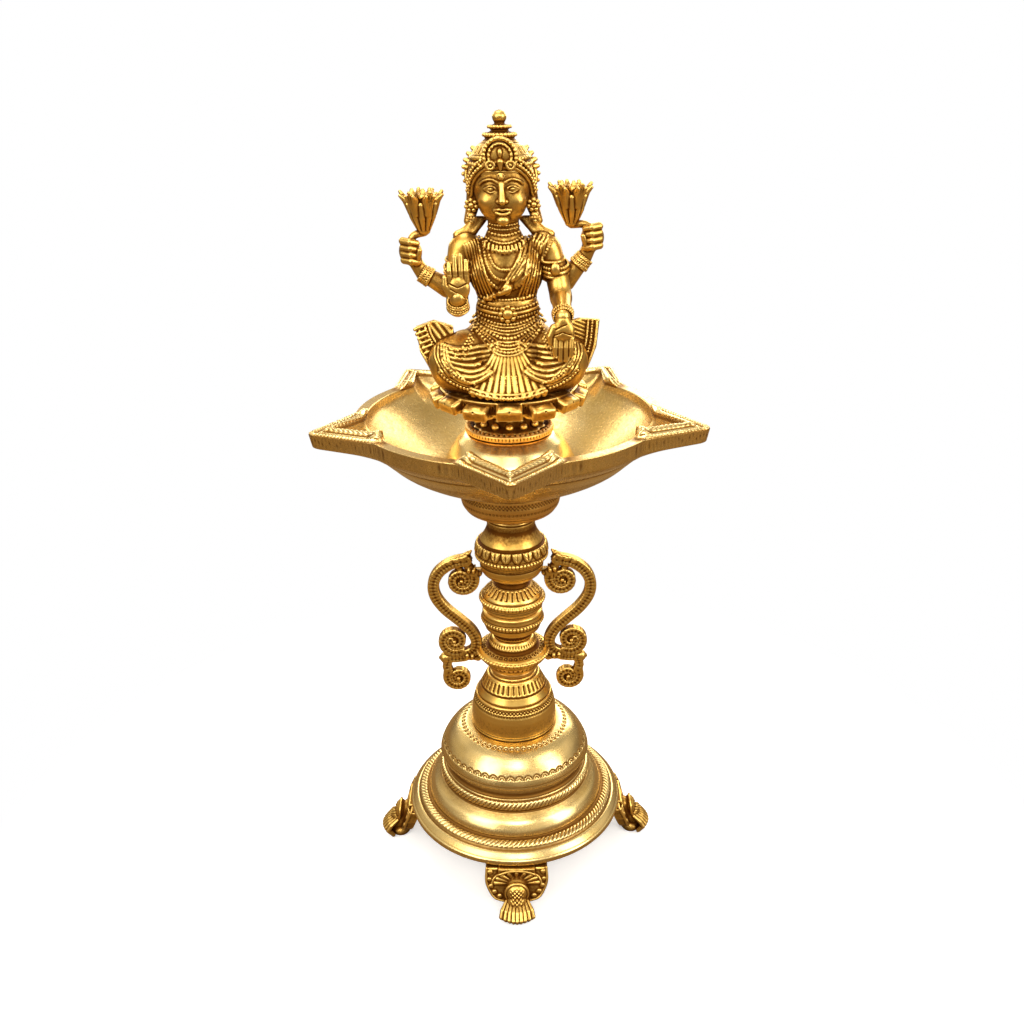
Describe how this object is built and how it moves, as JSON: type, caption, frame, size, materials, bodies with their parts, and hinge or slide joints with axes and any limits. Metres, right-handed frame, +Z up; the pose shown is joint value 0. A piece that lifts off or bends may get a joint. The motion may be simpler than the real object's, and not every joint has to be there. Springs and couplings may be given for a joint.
{
  "type": "standing oil lamp",
  "caption": "Cast brass standing oil lamp: paw-footed base, turned pillar with scroll brackets, oil bowl with pointed wick spouts and a seated goddess on a lotus seat.",
  "frame": {"origin": "middle of the lamp's bounding box on the surface that its feet stand on; the lamp's own axis stands 7.16 mm behind it, because a spout points straight to the front", "axes": "+Z up along the lamp's axis, -Y to the front, where the figure faces and one spout points, +X to the viewer's right"},
  "size_m": [0.1426, 0.1361, 0.3061],
  "materials": {
    "polished_brass": "polished, satin in the hollows",
    "cast_brass": "cast and buffed, brown patina in the recesses",
    "aged_brass": "cast, orange-brown patina",
    "fastener": "machined, dull",
    "gasket": "matte"
  },
  "bodies": {
    "base": {"base_dish": "polished_brass", "base_dome": "polished_brass", "base_washer": "fastener", "base_nut": "fastener", "bell_collar": "cast_brass", "foot_front": "cast_brass", "foot_right": "cast_brass", "foot_back": "cast_brass", "foot_left": "cast_brass", "foot_screw_front": "fastener", "foot_screw_right": "fastener", "foot_screw_back": "fastener", "foot_screw_left": "fastener"},
    "pillar_thread": {"pillar_washer": "aged_brass"},
    "pillar": {"pillar_rod": "fastener", "pillar_foot": "cast_brass", "pillar_disc_lower": "cast_brass", "pillar_disc_upper": "cast_brass", "pillar_bulb": "cast_brass", "bracket_left": "cast_brass", "bracket_right": "cast_brass", "bracket_pin_upper_left": "fastener", "bracket_pin_lower_left": "fastener", "bracket_pin_upper_right": "fastener", "bracket_pin_lower_right": "fastener"},
    "bowl_thread": {"neck_washer": "aged_brass"},
    "bowl": {"bowl_collar": "aged_brass", "bowl": "polished_brass", "bowl_seal": "gasket", "bowl_boss": "polished_brass"},
    "figure_thread": {"rosette_ring": "aged_brass"},
    "figure": {"lotus_seat": "cast_brass", "figure_stud": "fastener", "figure": "cast_brass"}
  },
  "joints": [
    {"name": "pillar_turn", "type": "hinge", "parent": "base", "child": "pillar_thread", "pos_m": [0, 0.00716, 0.0875], "axis": [0, 0, 1], "range_deg": [0, 1981]},
    {"name": "pillar_lift", "type": "slide", "parent": "pillar_thread", "child": "pillar", "axis": [0, 0, 1], "range_m": [0, 0.00825]},
    {"name": "bowl_turn", "type": "hinge", "parent": "pillar", "child": "bowl_thread", "pos_m": [0, 0.00716, 0.1584], "axis": [0, 0, 1], "range_deg": [0, 1981]},
    {"name": "bowl_lift", "type": "slide", "parent": "bowl_thread", "child": "bowl", "axis": [0, 0, 1], "range_m": [0, 0.00825]},
    {"name": "figure_turn", "type": "hinge", "parent": "bowl", "child": "figure_thread", "pos_m": [0, 0.00716, 0.1945], "axis": [0, 0, 1], "range_deg": [0, 1981]},
    {"name": "figure_lift", "type": "slide", "parent": "figure_thread", "child": "figure", "axis": [0, 0, 1], "range_m": [0, 0.00825]}
  ],
  "couplings": [
    {"joint": "pillar_turn", "follows": "pillar_lift", "rad_per_m": 4188.8},
    {"joint": "bowl_turn", "follows": "bowl_lift", "rad_per_m": 4188.8},
    {"joint": "figure_turn", "follows": "figure_lift", "rad_per_m": 4188.8}
  ]
}
